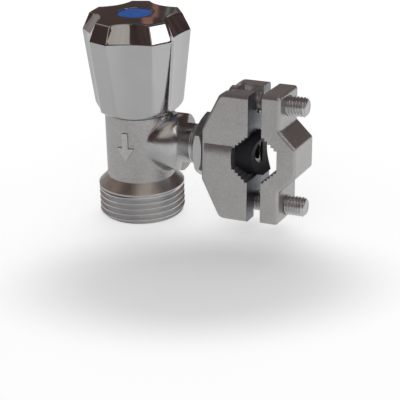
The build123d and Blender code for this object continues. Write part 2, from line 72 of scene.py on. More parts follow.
# Threads: pitch and depth
OUTLET_THREAD = (1.814 * MM, 0.95 * MM)
TAIL_THREAD = (1.25 * MM, 0.45 * MM)
SCREW_THREAD = (1.0 * MM, 0.48 * MM)
OUTLET_RUNOUT, TAIL_RUNOUT, SCREW_RUNOUT = 1.6 * MM, 1.6 * MM, 1.5 * MM
PAST_END = 0.3 * MM         # how far a cutter starts past the threaded end
OUTLET_PAST_END = 0.6 * MM
CREST_SHARE, FLANK_SHARE = 0.10, 0.72       # of half a pitch
GROOVE_ROUNDING = 0.5
CREST_SKIM = 0.015 * MM     # the cutter leaves the crests this much under the plain size
CREST_BAND = 0.13 * MM      # worn bright this deep

# Where a face counts as part of the cone, of the barrel or of the boss, and how far off it may lie
CONE_SHARE = 0.97
BARREL_SKIN, BOSS_SKIN = 0.05 * MM, 0.1 * MM
BOSS_START = BARREL_R * 0.55
SLACK = 0.02 * MM
FACES_DOWN, FACES_CLAMP = -0.999, 0.9       # parts of the normal along Z and along X

# Materials of the casting's faces, in the order of its slots
CAST_FACE, THREAD_FACE, CONE_FACE, TURNED_FACE, BOSS_FACE, CREST_FACE, PAINTED_SHADE_FACE, ARROW_FACE = range(8)

# Hand wheel
KNOB_BOTTOM, KNOB_RIM, KNOB_TOP = 33.5 * MM, 57.8 * MM, 63.6 * MM
KNOB_RIM_R, KNOB_FOOT_R = 16.6 * MM, 11.0 * MM
KNOB_TAPER = radians(6.45)
KNOB_CORNERS = 5
KNOB_CORNER_SPAN = radians(23.2)
KNOB_HOLLOW = 1.15 * MM
KNOB_AZIMUTH = radians(-36.5)
KNOB_FOOT_HEIGHT = 6.2 * MM
KNOB_DOME, DOME_REACH = 0.5 * MM, KNOB_RIM_R + MM      # drop of the domed top at this radius
KNOB_CAVITY_R, KNOB_HUB_R = 9.6 * MM, 6.5 * MM
KNOB_CEILING, HUB_LOW, SPINDLE_TOP, SCREW_SEAT = 54.6 * MM, 44.5 * MM, 53.1 * MM, 57.5 * MM
STEM_R, HEAD_WAY_R, SCREW_WAY_R = 4.0 * MM, 3.9 * MM, 2.1 * MM
DISC_WAY_R, DISC_WAY_DEPTH = 5.3 * MM, 1.2 * MM
EDGE_R = 0.38 * MM          # rounding of the plated edges
RIM_EASE, FOOT_EASE = 0.35 * MM, 2.4 * MM      # reach of the soft bend beside a corner facet
FOOT_SOFTENING = 1.6        # power by which the bend grows toward the foot
FOOT_BULGE = 0.2 * MM       # how far the foot's knee stands clear of the taper
FOOT_BLEND = 0.22 * MM      # between the facets and the round foot
CROWN_R, CROWN_HOLLOW, CROWN_EASE = 14.05 * MM, 1.9 * MM, 0.35 * MM
TOP_EASE = 0.55 * MM        # reach of the bend between bevel and top
DISC_WAY_LIP = 0.16 * MM

# Points and rows of the hand wheel's skin
NARROW_POINTS, HOLLOW_POINTS, BEND_STEPS = 9, 33, 8
FOOT_ROWS, GRIP_ROWS, BEVEL_ROWS, TOP_ROWS = 44, 16, 6, 12

# Angles between faces above which their edge stays sharp
CASTING_EDGE, SCREW_EDGE, KNOB_EDGE, PANEL_EDGE = radians(26), radians(30), radians(32), radians(60)

# Camera, fitted to the photograph
CAMERA_AZIMUTH, CAMERA_ELEVATION, CAMERA_ROLL = radians(23.763), radians(23.353), radians(1.547)
CAMERA_PLACE = Vector((195.6, -399.8, 194.2)) * MM
FOCAL_PIXELS, PHOTO_PIXELS, SENSOR_MM = 1546.2, 400, 36.0


def new_object(name, vertices, faces, smooth_angle=None):
    """Mesh object from arrays, with doubled points merged and its normals facing out."""
    mesh = bpy.data.meshes.new(name)
    mesh.from_pydata([tuple(v) for v in vertices], [], [tuple(int(i) for i in f) for f in faces])
    work = bmesh.new()
    work.from_mesh(mesh)
    bmesh.ops.remove_doubles(work, verts=work.verts, dist=MERGE_GAP)
    bmesh.ops.dissolve_degenerate(work, edges=work.edges, dist=LEAST_EDGE)
    bmesh.ops.recalc_face_normals(work, faces=work.faces)
    work.to_mesh(mesh)
    work.free()
    piece = bpy.data.objects.new(name, mesh)
    bpy.context.scene.collection.objects.link(piece)
    if smooth_angle:
        shade(mesh, smooth_angle)
    return piece


def shade(mesh, angle):
    """Smooth shading that breaks where two faces meet at more than this angle."""
    mesh.polygons.foreach_set("use_smooth", [True] * len(mesh.polygons))
    mesh.set_sharp_from_angle(angle=angle)


# Threads

def thread_cutter(name, crest_r, thread, start, end, runout, columns=144, steps=12):
    """Closed ring about Z whose inside is a right-hand thread, fading out before its end."""
    pitch, depth = thread
    first = (floor(start / pitch) - 1) * steps
    last = (ceil(end / pitch) + 1) * steps
    rows = last - first + 1
    outer_r = crest_r + 2 * depth
    vertices = []
    for row in range(first, last + 1):
        for column in range(columns):
            turn = column / columns
            z = min(max((row / steps + turn) * pitch, start), end)
            phase = (z / pitch - turn) % 1
            ridge = 1 - abs(2 * phase - 1)
            groove = min(max((ridge - CREST_SHARE) / FLANK_SHARE, 0), 1)
            smooth = groove * groove * (3 - 2 * groove)
            groove = smooth * GROOVE_ROUNDING + groove * (1 - GROOVE_ROUNDING)
            fade = min(max((end - z) / runout, 0), 1)
            r = crest_r - CREST_SKIM - depth * groove * fade
            vertices.append((r * cos(2 * pi * turn), r * sin(2 * pi * turn), z))
    faces = []
    for row in range(rows - 1):
        for column in range(columns):
            across, lift = (column + 1) % columns, steps if column == columns - 1 else 0
            if row + lift + 1 < rows:
                here, there = row * columns + column, (row + lift) * columns + across
                faces.append((here, there, there + columns, here + columns))
    low_ring = len(vertices)
    for z in (start, end):
        for column in range(columns):
            angle = 2 * pi * column / columns
            vertices.append((outer_r * cos(angle), outer_r * sin(angle), z))
    high_ring, top_row = low_ring + columns, (rows - 1) * columns
    for column in range(columns):
        across = (column + 1) % columns
        faces.append((column, across, low_ring + across, low_ring + column))
        faces.append((top_row + column, top_row + across, high_ring + across, high_ring + column))
        faces.append((low_ring + column, low_ring + across, high_ring + across, high_ring + column))
    return new_object(name, vertices, faces)


def along_x(x, y, z):
    """Placement that lays a piece made about Z along X."""
    return Matrix.Translation((x, y, z)) @ Matrix.Rotation(pi / 2, 4, "Y")


def on_clamp(z):
    """Point of the turned clamp, at this height above the branch."""
    return -z * sin(CLAMP_TURN), BRANCH_Z + z * cos(CLAMP_TURN)


def threaded_copy(name, node, cutters, angle):
    """Copy of a solid's mesh with threads cut into it; the cut faces take the second material."""
    mesh = nodes[node].data.copy()
    work = bmesh.new()
    work.from_mesh(mesh)
    bmesh.ops.remove_doubles(work, verts=work.verts, dist=MERGE_GAP)
    work.to_mesh(mesh)
    work.free()
    piece = bpy.data.objects.new(name, mesh)
    bpy.context.scene.collection.objects.link(piece)
    mesh.materials.clear()
    for stand_in in ("First", "Second"):
        mesh.materials.append(bpy.data.materials.get(stand_in) or bpy.data.materials.new(stand_in))
    for cutter in cutters:
        for material in mesh.materials:
            cutter.data.materials.append(material)
        cutter.data.polygons.foreach_set("material_index", [THREAD_FACE] * len(cutter.data.polygons))
        cut = piece.modifiers.new("thread", "BOOLEAN")
        cut.operation, cut.solver, cut.object = "DIFFERENCE", "EXACT", cutter
    bpy.context.view_layer.update()
    graph = bpy.context.evaluated_depsgraph_get()
    baked = bpy.data.meshes.new_from_object(piece.evaluated_get(graph))
    piece.modifiers.clear()
    piece.data = baked
    baked.name = name
    shade(baked, angle)
    for cutter in cutters:
        bpy.data.objects.remove(cutter)
    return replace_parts(piece, node)


def valve_casting():
    """Valve body with its outlet and tail threads."""
    outlet = thread_cutter("outlet_cutter", OUTLET_R, OUTLET_THREAD, -OUTLET_PAST_END, OUTLET_LENGTH,
                           OUTLET_RUNOUT, columns=192, steps=14)
    tail_start = TAIL_END + PAST_END
    tail_length = tail_start - BOSS_END - TAIL_NECK
    tail = thread_cutter("tail_cutter", TAIL_R, TAIL_THREAD, 0, tail_length, TAIL_RUNOUT)
    tail.matrix_world = along_x(tail_start, 0, BRANCH_Z) @ Matrix.Rotation(pi, 4, "X")
    piece = threaded_copy("valve_casting", "valve_body", [outlet, tail], CASTING_EDGE)
    for face in piece.data.polygons:
        face.material_index = casting_material(piece.data, face)
    true_round_normals(piece.data)
    return piece


def casting_material(mesh, face):
    """Material of a face of the casting, by what made it and where it lies."""
    x, y, z = face.center
    uncut = face.material_index == CAST_FACE
    low = z < OUTLET_LENGTH + CONE_HEIGHT * CONE_SHARE
    wide = sqrt(x**2 + y**2) > BARREL_R + BARREL_SKIN
    if low and (uncut and wide or face.normal.z < FACES_DOWN):
        return CONE_FACE
    boss_end = abs(x - BOSS_END) < SLACK / 2 and face.normal.x > FACES_CLAMP
    if boss_end or uncut and x > BOSS_END:
        return TURNED_FACE
    off_branch = sqrt(y**2 + (z - BRANCH_Z) ** 2)
    if uncut and wide and x > BOSS_START and off_branch < BOSS_R + BOSS_SKIN:
        return BOSS_FACE
    least_r, most_r = radii(mesh, face)
    # The raised arrow's top takes a lighter finish, a painted highlight, and its sides the dark one, a
    # painted shadow
    if uncut and abs(most_r - ARROW_R) < SLACK:
        return ARROW_FACE if least_r > ARROW_R - SLACK else PAINTED_SHADE_FACE
    if not uncut and low and least_r > OUTLET_R - CREST_BAND:
        return CREST_FACE
    return face.material_index


def radii(mesh, face):
    """Least and greatest distance of a face's corners from the stem's axis."""
    places = [mesh.vertices[index].co for index in face.vertices]
    reach = [sqrt(co.x**2 + co.y**2) for co in places]
    return min(reach), max(reach)


def true_round_normals(mesh):
    """Barrel and cone take their own round forms' normals, so that long thin facets don't streak them."""
    normals = [tuple(corner.vector) for corner in mesh.corner_normals]
    cone_top = OUTLET_LENGTH + CONE_HEIGHT

    def on_barrel(co, r):
        return co.z > cone_top - SLACK and min(abs(r - BARREL_R), abs(r - ARROW_R)) < SLACK

    def on_cone(co, r):
        return co.z < cone_top + SLACK and abs(r - OUTLET_R + co.z - OUTLET_LENGTH) < SLACK

    for face in mesh.polygons:
        places = [mesh.vertices[index].co for index in face.vertices]
        reach = [sqrt(co.x**2 + co.y**2) for co in places]
        for is_on, rise in ((on_barrel, 0.0), (on_cone, 1.0)):
            if all(is_on(co, r) for co, r in zip(places, reach)):
                for loop, co, r in zip(face.loop_indices, places, reach):
                    normals[loop] = Vector((co.x / r, co.y / r, rise)).normalized()[:]
    mesh.normals_split_custom_set(normals)


def threaded_screw(name, node, side):
    """Clamp screw with its thread, from the shank's plain part to the chamfered end."""
    y, z = on_clamp(side * SCREW_Z)
    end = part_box(node)[1].x
    length = end - SCREW_SEAT_X - SCREW_RUNOUT
    cutter = thread_cutter(name + "_cutter", SCREW_R, SCREW_THREAD, 0, length, SCREW_RUNOUT, columns=72)
    cutter.matrix_world = along_x(end + PAST_END, y, z) @ Matrix.Rotation(pi, 4, "X")
    return threaded_copy(name, node, [cutter], SCREW_EDGE)


# Hand wheel

def rounded(corner, before, after, steps=4):
    """Points of a soft bend from `before` to `after`, round their corner."""
    points = []
    for step in range(steps + 1):
        t = step / steps
        points.append((1 - t) ** 2 * before + 2 * t * (1 - t) * corner + t * t * after)
    return points


def knob_outline(corner_r, hollow_depth, ease):
    """Section of the hand wheel: five hollow facets between narrow ones, with softened corners."""
    step, half = 2 * pi / KNOB_CORNERS, KNOB_CORNER_SPAN / 2
    middle_r = corner_r * cos(step / 2 - half) - hollow_depth
    chord = corner_r * sin(step / 2 - half)
    hollow_r = (chord**2 + hollow_depth**2) / (2 * hollow_depth)
    centre = middle_r + hollow_r
    reach = asin(chord / hollow_r)
    points = []

    def turned(point, angle):
        c, s = cos(angle), sin(angle)
        return np.array((c * point[0] - s * point[1], s * point[0] + c * point[1]))

    for corner in range(KNOB_CORNERS):
        at = KNOB_AZIMUTH + corner * step
        next_facet = at + step / 2
        low = turned((corner_r * cos(half), -corner_r * sin(half)), at)
        high = turned((corner_r * cos(half), corner_r * sin(half)), at)
        following = turned(low, step)
        along = (high - low) / np.linalg.norm(high - low)
        for share in np.linspace(0, 1, NARROW_POINTS):
            points.append(low + along * ease + (high - low - 2 * along * ease) * share)
        swing = reach - ease / hollow_r

        def hollow(angle):
            return turned((centre - hollow_r * cos(angle), hollow_r * sin(angle)), next_facet)

        points += rounded(high, points[-1], hollow(-swing), BEND_STEPS)[1:-1]
        for share in np.linspace(-1, 1, HOLLOW_POINTS):
            points.append(hollow(swing * share))
        next_start = following + turned(along, step) * ease
        points += rounded(following, points[-1], next_start, BEND_STEPS)[1:-1]
    return np.array(points)


def foot_radius(z):
    """Radius of the rounded foot at a height, an arc through the foot, its middle and the knee."""
    foot_r = KNOB_RIM_R - (KNOB_RIM - KNOB_BOTTOM) * tan(KNOB_TAPER)
    knee = foot_r + KNOB_FOOT_HEIGHT * tan(KNOB_TAPER) + FOOT_BULGE
    top = KNOB_BOTTOM + KNOB_FOOT_HEIGHT
    middle = (KNOB_FOOT_R + (knee - KNOB_FOOT_R) * sin(pi / 4), top - KNOB_FOOT_HEIGHT * cos(pi / 4))
    (ax, ay), (bx, by), (cx, cy) = (KNOB_FOOT_R, KNOB_BOTTOM), middle, (knee, top)
    d = 2 * (ax * (by - cy) + bx * (cy - ay) + cx * (ay - by))
    ux = ((ax**2 + ay**2) * (by - cy) + (bx**2 + by**2) * (cy - ay) + (cx**2 + cy**2) * (ay - by)) / d
    uy = ((ax**2 + ay**2) * (cx - bx) + (bx**2 + by**2) * (ax - cx) + (cx**2 + cy**2) * (bx - ax)) / d
    arc = sqrt((ax - ux) ** 2 + (ay - uy) ** 2)
    if z >= top:
        return knee + (z - top)
    return ux + sqrt(max(arc**2 - (z - uy) ** 2, 0))


def dome_height(r):
    """Height of the domed top at a radius."""
    return KNOB_TOP - KNOB_DOME * (r / DOME_REACH) ** 2


def lifted(points, heights):
    """Points of a section with their heights."""
    return np.column_stack([points, np.broadcast_to(heights, len(points))])


def knob_shell():
    """Hand wheel as one closed skin: grip, bevel, dome, disc recess, and the hollow skirt with its hub."""
    rim = knob_outline(KNOB_RIM_R, KNOB_HOLLOW, RIM_EASE)
    foot = knob_outline(KNOB_RIM_R, KNOB_HOLLOW, FOOT_EASE)
    crown = knob_outline(CROWN_R, CROWN_HOLLOW, CROWN_EASE)
    count = len(rim)
    rows = []

    def grip(z):
        """Faceted section at a height, softer toward the foot."""
        low = ((KNOB_RIM - z) / (KNOB_RIM - KNOB_BOTTOM)) ** FOOT_SOFTENING
        section = (rim * (1 - low) + foot * low) * (1 - (KNOB_RIM - z) * tan(KNOB_TAPER) / KNOB_RIM_R)
        return section, np.linalg.norm(section, axis=1)

    heights = KNOB_BOTTOM + KNOB_FOOT_HEIGHT * (1 - np.cos(np.linspace(0.0, pi / 2, FOOT_ROWS)))
    for z in heights:
        (section, facet), arc = grip(z), foot_radius(z)
        overlap = np.clip(0.5 + (arc - facet) / (2 * FOOT_BLEND), 0, 1)
        r = arc * (1 - overlap) + facet * overlap - FOOT_BLEND * overlap * (1 - overlap)
        rows.append(lifted(section * (r / facet)[:, None], z))
    for z in np.linspace(heights[-1], KNOB_RIM - 2 * EDGE_R, GRIP_ROWS)[1:]:
        section, facet = grip(z)
        rows.append(lifted(section * (np.minimum(facet, foot_radius(z)) / facet)[:, None], z))
    crown_r = np.linalg.norm(crown, axis=1)
    direction = crown / crown_r[:, None]
    rim_edge = lifted(rim, KNOB_RIM)
    crown_edge = lifted(crown, dome_height(crown_r))
    slope = (crown_edge - rim_edge) / np.linalg.norm(crown_edge - rim_edge, axis=1)[:, None]
    low_end, high_end = rim_edge + slope * EDGE_R, crown_edge - slope * TOP_EASE
    rows += rounded(rim_edge, lifted(grip(KNOB_RIM - EDGE_R)[0], KNOB_RIM - EDGE_R), low_end)
    for share in np.linspace(0, 1, BEVEL_ROWS)[1:-1]:
        rows.append(low_end * (1 - share) + high_end * share)

    def ring(reach, heights):
        """Adds a row at this radius, or at these radii, and these heights."""
        rows.append(lifted(direction * np.broadcast_to(reach, count)[:, None], heights))

    inner_r = crown_r - TOP_EASE
    rows += rounded(crown_edge, high_end, lifted(direction * inner_r[:, None], dome_height(inner_r)))
    for fraction in np.linspace(0, 1, TOP_ROWS)[1:]:
        r = inner_r * (1 - fraction) + (DISC_WAY_R + DISC_WAY_LIP) * fraction
        ring(r, dome_height(r))
    edge_z = dome_height(DISC_WAY_R)
    lip_corner = np.array((DISC_WAY_R, edge_z))
    lip_start = np.array((DISC_WAY_R + DISC_WAY_LIP, edge_z))
    lip_end = np.array((DISC_WAY_R, edge_z - DISC_WAY_LIP))
    for r, z in rounded(lip_corner, lip_start, lip_end)[1:]:
        ring(r, z)
    inside = [
        (DISC_WAY_R, KNOB_TOP - DISC_WAY_DEPTH),
        (HEAD_WAY_R, KNOB_TOP - DISC_WAY_DEPTH),
        (HEAD_WAY_R, SCREW_SEAT),
        (SCREW_WAY_R, SCREW_SEAT),
        (SCREW_WAY_R, SPINDLE_TOP),
        (STEM_R, SPINDLE_TOP),
        (STEM_R, HUB_LOW),
        (KNOB_HUB_R, HUB_LOW),
        (KNOB_HUB_R, KNOB_CEILING),
        (KNOB_CAVITY_R, KNOB_CEILING),
        (KNOB_CAVITY_R, KNOB_BOTTOM),
    ]
    for r, z in inside:
        ring(r, z)
    faces = []
    for row in range(len(rows)):
        here, there = row * count, (row + 1) % len(rows) * count
        for column in range(count):
            across = (column + 1) % count
            faces.append((here + column, here + across, there + across, there + column))
    piece = new_object("knob_shell", np.concatenate(rows), faces, KNOB_EDGE)
    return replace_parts(piece, "handwheel_knob")


# Finishes

def finish(name):
    """Empty node material with its shader, output and the piece's own coordinates."""
    material = bpy.data.materials.new(name)
    material.use_nodes = True
    tree = material.node_tree
    tree.nodes.clear()
    output = tree.nodes.new("ShaderNodeOutputMaterial")
    shader = tree.nodes.new("ShaderNodeBsdfPrincipled")
    tree.links.new(shader.outputs["BSDF"], output.inputs["Surface"])
    place = tree.nodes.new("ShaderNodeTexCoord").outputs["Object"]
    return material, tree, shader, place


def noise(tree, place, size, detail=3.0, rough=0.55):
    """Noise whose features are about this size."""
    node = tree.nodes.new("ShaderNodeTexNoise")
    node.inputs["Scale"].default_value = 1 / size
    node.inputs["Detail"].default_value = detail
    node.inputs["Roughness"].default_value = rough
    tree.links.new(place, node.inputs["Vector"])
    return node.outputs["Fac"]


def ranged(tree, value, low, high, start=0.3, end=0.7):
    """Value between low and high, as the input goes from start to end."""
    node = tree.nodes.new("ShaderNodeMapRange")
    for socket, number in zip(("From Min", "From Max", "To Min", "To Max"), (start, end, low, high)):
        node.inputs[socket].default_value = number
    tree.links.new(value, node.inputs["Value"])
    return node.outputs["Result"]


def tinted(tree, value, first, second):
    """Colour between two tints."""
    node = tree.nodes.new("ShaderNodeMix")
    node.data_type = "RGBA"
    node.inputs["A"].default_value = (*first, 1)
    node.inputs["B"].default_value = (*second, 1)
    tree.links.new(value, node.inputs["Factor"])
    return node.outputs["Result"]


def shaded(tree, colour, value):
    """Colour darkened by a value."""
    node = tree.nodes.new("ShaderNodeVectorMath")
    node.operation = "SCALE"
    tree.links.new(colour, node.inputs["Vector"])
    tree.links.new(value, node.inputs["Scale"])
    return node.outputs["Vector"]


def relief(tree, heights, edge_r):
    """Normal from rounded edges and from (height, depth) pairs."""
    normal = None
    if edge_r:
        bevel = tree.nodes.new("ShaderNodeBevel")
        bevel.samples = 6
        bevel.inputs["Radius"].default_value = edge_r
        normal = bevel.outputs["Normal"]
    for height, depth in heights:
        bump = tree.nodes.new("ShaderNodeBump")
        bump.inputs["Strength"].default_value = 1.0
        bump.inputs["Distance"].default_value = depth
        tree.links.new(height, bump.inputs["Height"])
        if normal:
            tree.links.new(normal, bump.inputs["Normal"])
        normal = bump.outputs["Normal"]
    return normal


def plating(name, tints, rough, grain=(), edge_r=0.15 * MM, blotch=5 * MM, speckle=None, metal=1.0):
    """Plated or bare metal: mottled tint and gloss, grain as (size, depth) pairs, specks (size, darkest)."""
    material, tree, shader, place = finish(name)
    shader.inputs["Metallic"].default_value = metal
    cloud = noise(tree, place, blotch)
    colour = tinted(tree, ranged(tree, cloud, 0, 1), *tints)
    if speckle:
        size, darkest = speckle
        specks = noise(tree, place, size, detail=4.0, rough=0.7)
        colour = shaded(tree, colour, ranged(tree, specks, darkest, 1))
    tree.links.new(colour, shader.inputs["Base Color"])
    tree.links.new(ranged(tree, noise(tree, place, blotch / 3), *rough), shader.inputs["Roughness"])
    normal = relief(tree, [(noise(tree, place, size), depth) for size, depth in grain], edge_r)
    if normal:
        tree.links.new(normal, shader.inputs["Normal"])
    return material


def moulded(name, tints, rough, grain, edge_r=0.2 * MM, specular=0.5):
    """Rubber or plastic, with a faint mottle and a moulded skin."""
    material, tree, shader, place = finish(name)
    shader.inputs["Specular IOR Level"].default_value = specular
    colour = tinted(tree, ranged(tree, noise(tree, place, 2 * MM), 0, 1), *tints)
    tree.links.new(colour, shader.inputs["Base Color"])
    tree.links.new(ranged(tree, noise(tree, place, 0.8 * MM), *rough), shader.inputs["Roughness"])
    normal = relief(tree, [(noise(tree, place, size), depth) for size, depth in grain], edge_r)
    tree.links.new(normal, shader.inputs["Normal"])
    return material


# Where grain has to show, the roughness stays above 0.28: below it the denoiser smooths the grain away
CAST = plating("cast_plating_dress", ((0.57, 0.56, 0.555), (0.62, 0.61, 0.605)), (0.30, 0.36),
               ((0.5 * MM, 0.055 * MM), (1.6 * MM, 0.030 * MM)),
               edge_r=0.25 * MM, speckle=(0.55 * MM, 0.76), metal=0.90)
BOSS = plating("boss_plating", ((0.58, 0.575, 0.58), (0.63, 0.625, 0.63)), (0.17, 0.23),
               ((0.5 * MM, 0.030 * MM), (1.6 * MM, 0.020 * MM)),
               edge_r=0.25 * MM, blotch=4 * MM, speckle=(0.5 * MM, 0.86))
# Lighter than the cast plating: a painted highlight on the raised arrow's top
ARROW = plating("arrow_plating", ((0.65, 0.645, 0.64), (0.70, 0.695, 0.69)), (0.30, 0.36),
                ((0.5 * MM, 0.045 * MM),), edge_r=0.12 * MM, speckle=(0.55 * MM, 0.80))
# Dark finish that paints shade: on the clamp halves' faces toward each other and on the raised arrow's sides
PAINTED_SHADE = plating("painted_shade_cast", ((0.26, 0.27, 0.30), (0.37, 0.38, 0.41)), (0.32, 0.42),
              ((0.5 * MM, 0.045 * MM), (1.6 * MM, 0.040 * MM)),
              edge_r=0.25 * MM, blotch=2 * MM, speckle=(0.6 * MM, 0.80))
MIRROR = plating("polished_plating_dress", ((0.55, 0.55, 0.55), (0.58, 0.58, 0.58)), (0.04, 0.08),
                 ((6 * MM, 0.010 * MM),), edge_r=None, blotch=9 * MM)
MACHINED = plating("machined_plating", ((0.64, 0.64, 0.65), (0.70, 0.70, 0.71)), (0.28, 0.36),
                   ((0.5 * MM, 0.003 * MM),), edge_r=0.08 * MM, blotch=2.5 * MM)
CREST = plating("thread_crest", ((0.88, 0.88, 0.88), (0.94, 0.94, 0.94)), (0.30, 0.40),
                ((0.5 * MM, 0.003 * MM),), edge_r=0.08 * MM)
CONE = plating("worn_cone_plating", ((0.56, 0.53, 0.50), (0.64, 0.62, 0.60)), (0.30, 0.40),
               ((0.6 * MM, 0.010 * MM),), blotch=3 * MM)
TURNED = plating("turned_plating", ((0.56, 0.555, 0.55), (0.62, 0.615, 0.61)), (0.14, 0.22),
                 ((0.7 * MM, 0.004 * MM),))
STEEL_PLATE = plating("plated_steel_dress", ((0.58, 0.575, 0.58), (0.66, 0.655, 0.66)), (0.28, 0.36),
                      ((0.6 * MM, 0.006 * MM),), edge_r=0.12 * MM, blotch=3 * MM)
NUT_PLATE = plating("lock_nut_plating", ((0.58, 0.58, 0.585), (0.63, 0.63, 0.635)), (0.28, 0.34),
                    ((1.2 * MM, 0.006 * MM),), edge_r=0.18 * MM)
BARE = plating("ground_steel", ((0.46, 0.43, 0.37), (0.58, 0.55, 0.49)), (0.24, 0.34),
               ((0.3 * MM, 0.006 * MM),), edge_r=0.08 * MM, blotch=1.5 * MM)
BRASS = plating("turned_brass", ((0.66, 0.48, 0.22), (0.74, 0.56, 0.28)), (0.20, 0.32),
                ((0.4 * MM, 0.005 * MM),), edge_r=0.12 * MM, blotch=3 * MM)
RUBBER = moulded("black_rubber_dress", ((0.013, 0.013, 0.019), (0.022, 0.022, 0.030)), (0.48, 0.62),
                 ((0.25 * MM, 0.010 * MM), (1.5 * MM, 0.02 * MM)), specular=0.3)
FIBRE = moulded("pressed_fibre", ((0.20, 0.05, 0.03), (0.30, 0.09, 0.05)), (0.7, 0.85),
                ((0.2 * MM, 0.02 * MM),))
BLUE = moulded("blue_plastic_dress", ((0.016, 0.095, 0.38), (0.022, 0.125, 0.47)), (0.16, 0.24),
               ((1.5 * MM, 0.004 * MM),), edge_r=0.25 * MM)

DRESS = {
    "headwork_bonnet": BRASS,
    "bonnet_gasket": FIBRE,
    "spindle": BRASS,
    "spindle_seal_lower": RUBBER,
    "spindle_seal_upper": RUBBER,
    "spindle_circlip": BARE,
    "jumper": BRASS,
    "seat_washer": RUBBER,
    "washer_nut": BRASS,
    "index_disc": BLUE,
    "knob_screw": STEEL_PLATE,
    "piercing_needle": BARE,
    "saddle_gasket": RUBBER,
    "clamp_block": CAST,
    "clamp_jaw": CAST,
    "lock_nut": NUT_PLATE,
}


def dress_solids():
    """The solids that keep their own mesh."""
    for node, material in DRESS.items():
        nodes[node].data.materials.clear()
        nodes[node].data.materials.append(material)


def paint_shade_on_mating_faces():
    """The clamp halves' faces toward each other take a darker finish than the plated outside, as painted
    shade between the halves.
    """
    for node, at, side in (("clamp_block", BLOCK_RIGHT, 1), ("clamp_jaw", JAW_LEFT, -1)):
        mesh = nodes[node].data
        mesh.materials.append(PAINTED_SHADE)
        for face in mesh.polygons:
            if face.normal.x * side > FACES_CLAMP and abs(face.center.x - at) < MATING_SLACK:
                face.material_index = 1


def dressed(piece, body, slot, *materials):
    """Gives a new piece its finish and the body that it rides on."""
    numbers = [face.material_index for face in piece.data.polygons]
    piece.data.materials.clear()
    for material in materials:
        piece.data.materials.append(material)
    piece.data.polygons.foreach_set("material_index", numbers)
    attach(piece, body)


def dress_parts():
    """The pieces that replace solids."""
    casting = (CAST, MACHINED, CONE, TURNED, BOSS, CREST, PAINTED_SHADE, ARROW)
    dressed(valve_casting(), "valve", "cast_plating", *casting)
    for level, side in (("upper", 1), ("lower", -1)):
        screw = threaded_screw(f"{level}_screw_threaded", f"{level}_clamp_screw", side)
        dressed(screw, f"{level}_screw", "plated_steel", STEEL_PLATE, STEEL_PLATE)
    dressed(knob_shell(), "hand_wheel", "polished_plating", MIRROR)


dress_solids()
paint_shade_on_mating_faces()
dress_parts()


# Studio

FLOOR_R, FLOOR_Z = 3.0, -0.1 * MM
ROOM_R, CEILING_R, OUTER_R = 1.0, 1.05, 1.1     # the nearer panels hide the outer wall
ROOM_CENTRE_Z = 0.03
BRIGHT_AZIMUTH = radians(10)
SHADE_CENTRE = (38 * MM, -42 * MM, 0)       # painted soft shade on the floor in front of the valve, not a cast shadow
SHADE_REACH = (66 * MM, 43 * MM, 1)
SHADE_CORE = 0.65           # how far in from the oval's edge the shade is full
FLOOR_GLOW, SHADE_GLOW = 0.53, 0.25
DIM_REFLECTION, BRIGHT_REFLECTION = 0.155, 0.285
BRIGHT_COSINE = 0.75        # of the angle from the bright side, where the reflection is at its brightest
WORLD_LIGHT = 0.5
LAMP_AIM = Vector((20, 0, 30)) * MM


def floor_disc():
    """Pale round floor, lifted to white for the camera, and less in reflections."""
    work = bmesh.new()
    bmesh.ops.create_circle(work, cap_ends=True, radius=FLOOR_R, segments=96)
    mesh = bpy.data.meshes.new("floor")
    work.to_mesh(mesh)
    work.free()
    floor_piece = bpy.data.objects.new("floor", mesh)
    floor_piece.location.z = FLOOR_Z
    bpy.context.scene.collection.objects.link(floor_piece)
    material, tree, shader, place = finish("pale_floor")
    shader.inputs["Roughness"].default_value = 0.9
    shader.inputs["Specular IOR Level"].default_value = 0.0
    tint = tinted(tree, ranged(tree, noise(tree, place, 0.4), 0, 1), (0.60, 0.60, 0.60), (0.62, 0.62, 0.62))
    tree.links.new(tint, shader.inputs["Base Color"])
    strength = by_ray(tree, painted_soft_shade(tree, place), toward_light(tree, place), 0.0)
    tree.links.new(strength, shader.inputs["Emission Strength"])
    shader.inputs["Emission Color"].default_value = (1, 1, 1, 1)
    mesh.materials.append(material)


def painted_soft_shade(tree, place):
    """Glow of the floor, less in a broad soft oval in front of the valve: painted shade, not a cast shadow.
    """
    moved = tree.nodes.new("ShaderNodeMapping")
    moved.vector_type = "TEXTURE"
    moved.inputs["Location"].default_value = SHADE_CENTRE
    moved.inputs["Rotation"].default_value = (0, 0, CAMERA_AZIMUTH)
    moved.inputs["Scale"].default_value = SHADE_REACH
    ball = tree.nodes.new("ShaderNodeTexGradient")
    ball.gradient_type = "SPHERICAL"
    tree.links.new(place, moved.inputs["Vector"])
    tree.links.new(moved.outputs["Vector"], ball.inputs["Vector"])
    node = tree.nodes.new("ShaderNodeMapRange")
    node.interpolation_type = "SMOOTHSTEP"
    node.inputs["From Min"].default_value, node.inputs["From Max"].default_value = 0.0, SHADE_CORE
    node.inputs["To Min"].default_value, node.inputs["To Max"].default_value = FLOOR_GLOW, SHADE_GLOW
    tree.links.new(ball.outputs["Fac"], node.inputs["Value"])
    return node.outputs["Result"]


def toward_light(tree, place):
    """Glow of the floor in reflections, growing toward the bright side of the room, on the right."""
    flat, onward = (tree.nodes.new("ShaderNodeVectorMath") for _ in range(2))
    flat.operation, onward.operation = "NORMALIZE", "DOT_PRODUCT"
    tree.links.new(place, flat.inputs[0])
    tree.links.new(flat.outputs["Vector"], onward.inputs[0])
    onward.inputs[1].default_value = (cos(BRIGHT_AZIMUTH), sin(BRIGHT_AZIMUTH), 0)
    return ranged(tree, onward.outputs["Value"], DIM_REFLECTION, BRIGHT_REFLECTION, 0.0, BRIGHT_COSINE)


